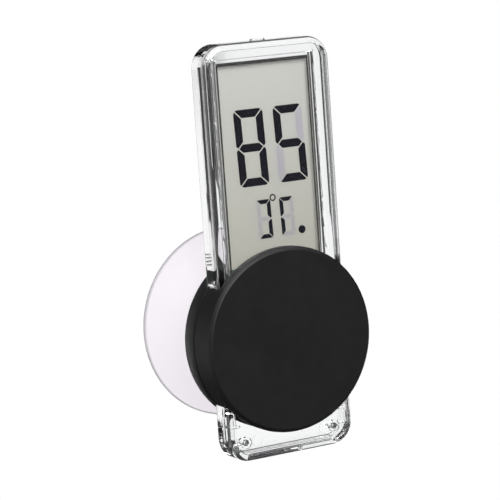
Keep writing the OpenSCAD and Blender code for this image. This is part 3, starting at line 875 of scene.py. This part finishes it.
def base_shell():
    """The rear base: a rounded dish with sockets for the pegs and posts for the screws."""
    seam, back = base_lo.y, base_hi.y
    floor_y = back - BASE_FLOOR
    profile = [(PUCK_R - WALL, seam), (PUCK_R, seam), (PUCK_R, seam + BASE_EDGE)]
    profile += arc(PUCK_R - BASE_BACK_IN, back - BASE_BACK_R, BASE_BACK_R, 0, 90, 8)
    profile += [(0, back), (0, floor_y), (PUCK_R - WALL, floor_y)]
    soft = profile[:1] + corner(profile, SOFT)[4:8] + profile[2:]
    shell = lathe("base_shell", soft, 0, PUCK_Z, 256)
    boolean(shell, [passage(seam - PASSAGE_OVER, CASE_BACK + PASSAGE_GAP)], "DIFFERENCE")
    adds = []
    cuts = [rod("cut", NECK_HOLE_R, floor_y - OVER, back + OVER, 0, 0, 64)]
    for x, z in four_places(SOCKET_X, PEG_Z):
        adds.append(rod("add", SOCKET_R, seam, floor_y + INTO, x, z, 40))
    for x, z in four_places(PEG_X, PEG_Z):
        cuts.append(rod("cut", PEG_HOLE_R, seam - OVER, cap_hi.y + PEG_HOLE_DEEP, x, z, 32))
    for x, z in four_places(SCREW_X, SCREW_Z):
        adds.append(rod("add", SCREW_POST_R, CASE_BACK + PASSAGE_GAP, floor_y + INTO, x, z, 40))
        cuts.append(rod("cut", SCREW_BORE_R, CASE_BACK - OVER, CASE_MID + SCREW_BORE_END, x, z, 32))
    boolean(shell, adds, "UNION")
    boolean(shell, cuts, "DIFFERENCE")
    true_flats(shell)
    return add_piece(shell, "thermometer", BLACK, ["rear_base"])


# ---- suction cup ----

RIM_T, RIM_SOFT, HUB_R, DOME_H, HOLLOW_H = 0.7 * MM, 0.1 * MM, 6 * MM, 7.6 * MM, 6.6 * MM
DOME_CURVE, HOLLOW_CURVE = 1.3, 1.7
SEAL_W = 3 * MM
HEAD_R, HEAD_T, HEAD_CUT, HEAD_STEP = 4.5 * MM, 1.5 * MM, 0.3 * MM, 1.2 * MM
NECK_R, NECK_GAP = 3 * MM, 0.05 * MM
COLLAR_R, COLLAR_CUT, COLLAR_T = 5.8 * MM, 0.4 * MM, 1.1 * MM
WAIST_R, WAIST_FROM, WAIST_GAP = 4.9 * MM, 1.8 * MM, 0.8 * MM
HUB_IN, HUB_GAP = 0.4 * MM, 0.1 * MM
STEM_SOFT = 0.2 * MM
CUP_STEPS = 40


def cup_body():
    """The suction cup: a head, a neck, a collar and a thin dome, turned in one piece."""
    rim_r = cup_hi.x
    seal_r = rim_r - SEAL_W

    def dome(r):
        return -RIM_T - DOME_H * (1 - ((r - HUB_R) / (rim_r - HUB_R)) ** DOME_CURVE)

    def hollow(r):
        return -HOLLOW_H * (1 - (r / seal_r) ** HOLLOW_CURVE)

    head = cup_lo.y + HEAD_T
    shoulder = base_hi.y + NECK_GAP
    stem = [
        (0, head - HEAD_T), (HEAD_R - HEAD_CUT, head - HEAD_T), (HEAD_R, head - HEAD_STEP),
        (HEAD_R, head - HEAD_CUT), (HEAD_R - HEAD_CUT, head), (NECK_R, head), (NECK_R, shoulder),
        (COLLAR_R - COLLAR_CUT, shoulder), (COLLAR_R, shoulder + COLLAR_CUT),
        (COLLAR_R, shoulder + COLLAR_T), (WAIST_R, shoulder + WAIST_FROM),
        (WAIST_R, dome(HUB_R) - WAIST_GAP), (HUB_R - HUB_IN, dome(HUB_R) - HUB_GAP),
    ]
    profile = corner(stem, STEM_SOFT)[:-4]
    for i in range(1, CUP_STEPS + 1):
        r = HUB_R + (rim_r - HUB_R) * i / CUP_STEPS
        profile.append((r, dome(r)))
    profile += [(rim_r, -RIM_SOFT), (rim_r - RIM_SOFT, 0), (seal_r, 0)]
    for i in range(CUP_STEPS - 1, -1, -1):
        r = seal_r * i / CUP_STEPS
        profile.append((r, hollow(r)))
    cup = lathe("cup_body", profile, 0, 0, 224, 40)
    return add_piece(cup, "cup", VINYL, ["suction_cup"])


# ---- studio ----

CAMERA_AZIMUTH = math.radians(-29.087)
CAMERA_ELEVATION = math.radians(8.129)
CAMERA_ROLL = math.radians(4.064)
CAMERA_DISTANCE = 481.54 * MM
CAMERA_AIM = Vector((-3.13, -18.08, 17.89)) * MM
LENS, SENSOR = 161.5, 36

FLOOR_DROP = 90 * MM
TABLE_R = 0.43
TABLE_CENTRE = (0.325, 0.563)
PAPER = (0.79, 0.79, 0.79)
PAPER_PALE = (0.795, 0.795, 0.795)

# The room's light by direction, as strengths of white. Ramps run over the sine of the height or over the
# cosine of the angle from a lobe's middle.
UP = (0, 0, 1)
ROOM, CEILING = 0.05, 1.0
CEILING_RAMP = (0.55, 0.85)
LOBES = (
    ((-0.755, 0.63, -0.17), (0.90, 0.98), 0.24),
    ((-0.98, 0.085, -0.17), (0.85, 0.97), 1.5),
    ((-0.24, 0.965, -0.1), (0.955, 0.988), 0.55),
)

# A tall white backdrop on one side, which fades out above the camera's height.
BACKDROP_AZIMUTH = math.radians(34)
BACKDROP_RAMP = (0.085, 0.11)
BACKDROP_AHEAD = (0.2, 0.6)
BACKDROP_LOW = (-0.31, -0.27)
BACKDROP_HIGH = (0.14, 0.34)
BACKDROP_TOP = 0.15

# White in front of the object, seen only by light that has crossed the clear case's walls many times.
FRONT = (0.38, -0.85, -0.42)
FRONT_RAMP = (0.88, 0.95)
FRONT_LIGHT = 1.1
FRONT_CROSSINGS = 4.5

SUN_POWER = 4.2
SUN_SPREAD = math.radians(60)
SUN_TILT = (math.radians(55), math.radians(-10), 0)
LIGHT_BOUNCES = 32


def camera():
    """A long lens, a little above and to the left, rolled a little."""
    a, e, roll = CAMERA_AZIMUTH, CAMERA_ELEVATION, CAMERA_ROLL
    back = Vector((math.sin(a) * math.cos(e), -math.cos(a) * math.cos(e), math.sin(e)))
    right = Vector((math.cos(a), math.sin(a), 0))
    up = back.cross(right)
    image_right = right * math.cos(roll) - up * math.sin(roll)
    image_up = right * math.sin(roll) + up * math.cos(roll)
    data = bpy.data.cameras.new("camera")
    data.lens = LENS
    data.sensor_width = SENSOR
    data.clip_start = 0.01
    data.clip_end = 200
    obj = bpy.data.objects.new("camera", data)
    turn = Matrix((image_right, image_up, back)).transposed().to_4x4()
    obj.matrix_world = Matrix.Translation(CAMERA_AIM + back * CAMERA_DISTANCE) @ turn
    bpy.context.scene.collection.objects.link(obj)
    bpy.context.scene.camera = obj


def floor():
    """A round pale table, set back from the object."""
    z = cad_box[0][2] - FLOOR_DROP
    ring = [(TABLE_CENTRE[0] + x, TABLE_CENTRE[1] + y, z) for x, y in ring_outline(0, 0, TABLE_R, 96)]
    obj = mesh_object("floor", ring, [tuple(range(len(ring)))])
    look = Look("floor_paper", PAPER, 0.9)
    look.set(Specular_IOR_Level=0.0)
    look.vary_colour(look.noise(3), PAPER, PAPER_PALE)
    obj.data.materials.append(look.mat)


def studio_world():
    """A dim room: a bright ceiling, soft lobes behind and a backdrop. The camera itself sees white."""
    world = bpy.data.worlds.new("studio")
    world.use_nodes = True
    nodes, links = world.node_tree.nodes, world.node_tree.links
    ray = nodes.new("ShaderNodeTexCoord").outputs["Generated"]

    def ramp(value, span, low, high):
        node = nodes.new("ShaderNodeMapRange")
        node.interpolation_type = "SMOOTHSTEP"
        node.inputs["From Min"].default_value = span[0]
        node.inputs["From Max"].default_value = span[1]
        node.inputs["To Min"].default_value = low
        node.inputs["To Max"].default_value = high
        links.new(value, node.inputs["Value"])
        return node.outputs["Result"]

    def towards(direction):
        node = nodes.new("ShaderNodeVectorMath")
        node.operation = "DOT_PRODUCT"
        node.inputs[1].default_value = Vector(direction).normalized()
        links.new(ray, node.inputs[0])
        return node.outputs["Value"]

    def maths(operation, a, b):
        node = nodes.new("ShaderNodeMath")
        node.operation = operation
        for socket, value in zip(node.inputs, (a, b)):
            if isinstance(value, (int, float)):
                socket.default_value = value
            else:
                links.new(value, socket)
        return node.outputs["Value"]

    light = ramp(towards(UP), CEILING_RAMP, ROOM, CEILING)
    for direction, span, strength in LOBES:
        light = maths("MAXIMUM", light, ramp(towards(direction), span, 0, strength))

    across = (math.cos(BACKDROP_AZIMUTH), -math.sin(BACKDROP_AZIMUTH), 0)
    ahead = (math.sin(BACKDROP_AZIMUTH), math.cos(BACKDROP_AZIMUTH), 0)
    strip = ramp(maths("ABSOLUTE", towards(across), 0), BACKDROP_RAMP, 1.0, 0)
    strip = maths("MULTIPLY", strip, ramp(towards(ahead), BACKDROP_AHEAD, 0, 1))
    strip = maths("MULTIPLY", strip, ramp(towards(UP), BACKDROP_LOW, 0, 1))
    strip = maths("MULTIPLY", strip, ramp(towards(UP), BACKDROP_HIGH, 1, BACKDROP_TOP))
    light = maths("MAXIMUM", light, strip)

    path = nodes.new("ShaderNodeLightPath")
    deep = maths("GREATER_THAN", path.outputs["Ray Depth"], FRONT_CROSSINGS)
    front = maths("MULTIPLY", deep, ramp(towards(FRONT), FRONT_RAMP, 0, FRONT_LIGHT))
    light = maths("MAXIMUM", light, front)

    room = nodes["Background"]
    links.new(light, room.inputs["Strength"])
    white = nodes.new("ShaderNodeBackground")
    white.inputs["Strength"].default_value = 1.0
    for node in (room, white):
        node.inputs["Color"].default_value = (1, 1, 1, 1)
    mix = nodes.new("ShaderNodeMixShader")
    links.new(path.outputs["Is Camera Ray"], mix.inputs["Fac"])
    links.new(room.outputs["Background"], mix.inputs[1])
    links.new(white.outputs["Background"], mix.inputs[2])
    links.new(mix.outputs["Shader"], nodes["World Output"].inputs["Surface"])
    bpy.context.scene.world = world


def lights():
    """One wide soft light from above, and the room."""
    sun = bpy.data.lights.new("sky_panel", "SUN")
    sun.energy = SUN_POWER
    sun.angle = SUN_SPREAD
    obj = bpy.data.objects.new("sky_panel", sun)
    obj.rotation_euler = SUN_TILT
    bpy.context.scene.collection.objects.link(obj)
    studio_world()


def render_look():
    """Enough bounces for light to cross all the clear walls."""
    scene = bpy.context.scene
    scene.view_settings.view_transform = "Standard"
    scene.cycles.max_bounces = LIGHT_BOUNCES
    scene.cycles.transmission_bounces = LIGHT_BOUNCES
    scene.cycles.glossy_bounces = LIGHT_BOUNCES
    scene.cycles.transparent_max_bounces = LIGHT_BOUNCES


dress_cad_nodes()
case_front_shell()
case_back_shell()
lcd_characters()
lcd_electrodes()
cap_shell()
base_shell()
cup_body()
camera()
floor()
lights()
render_look()
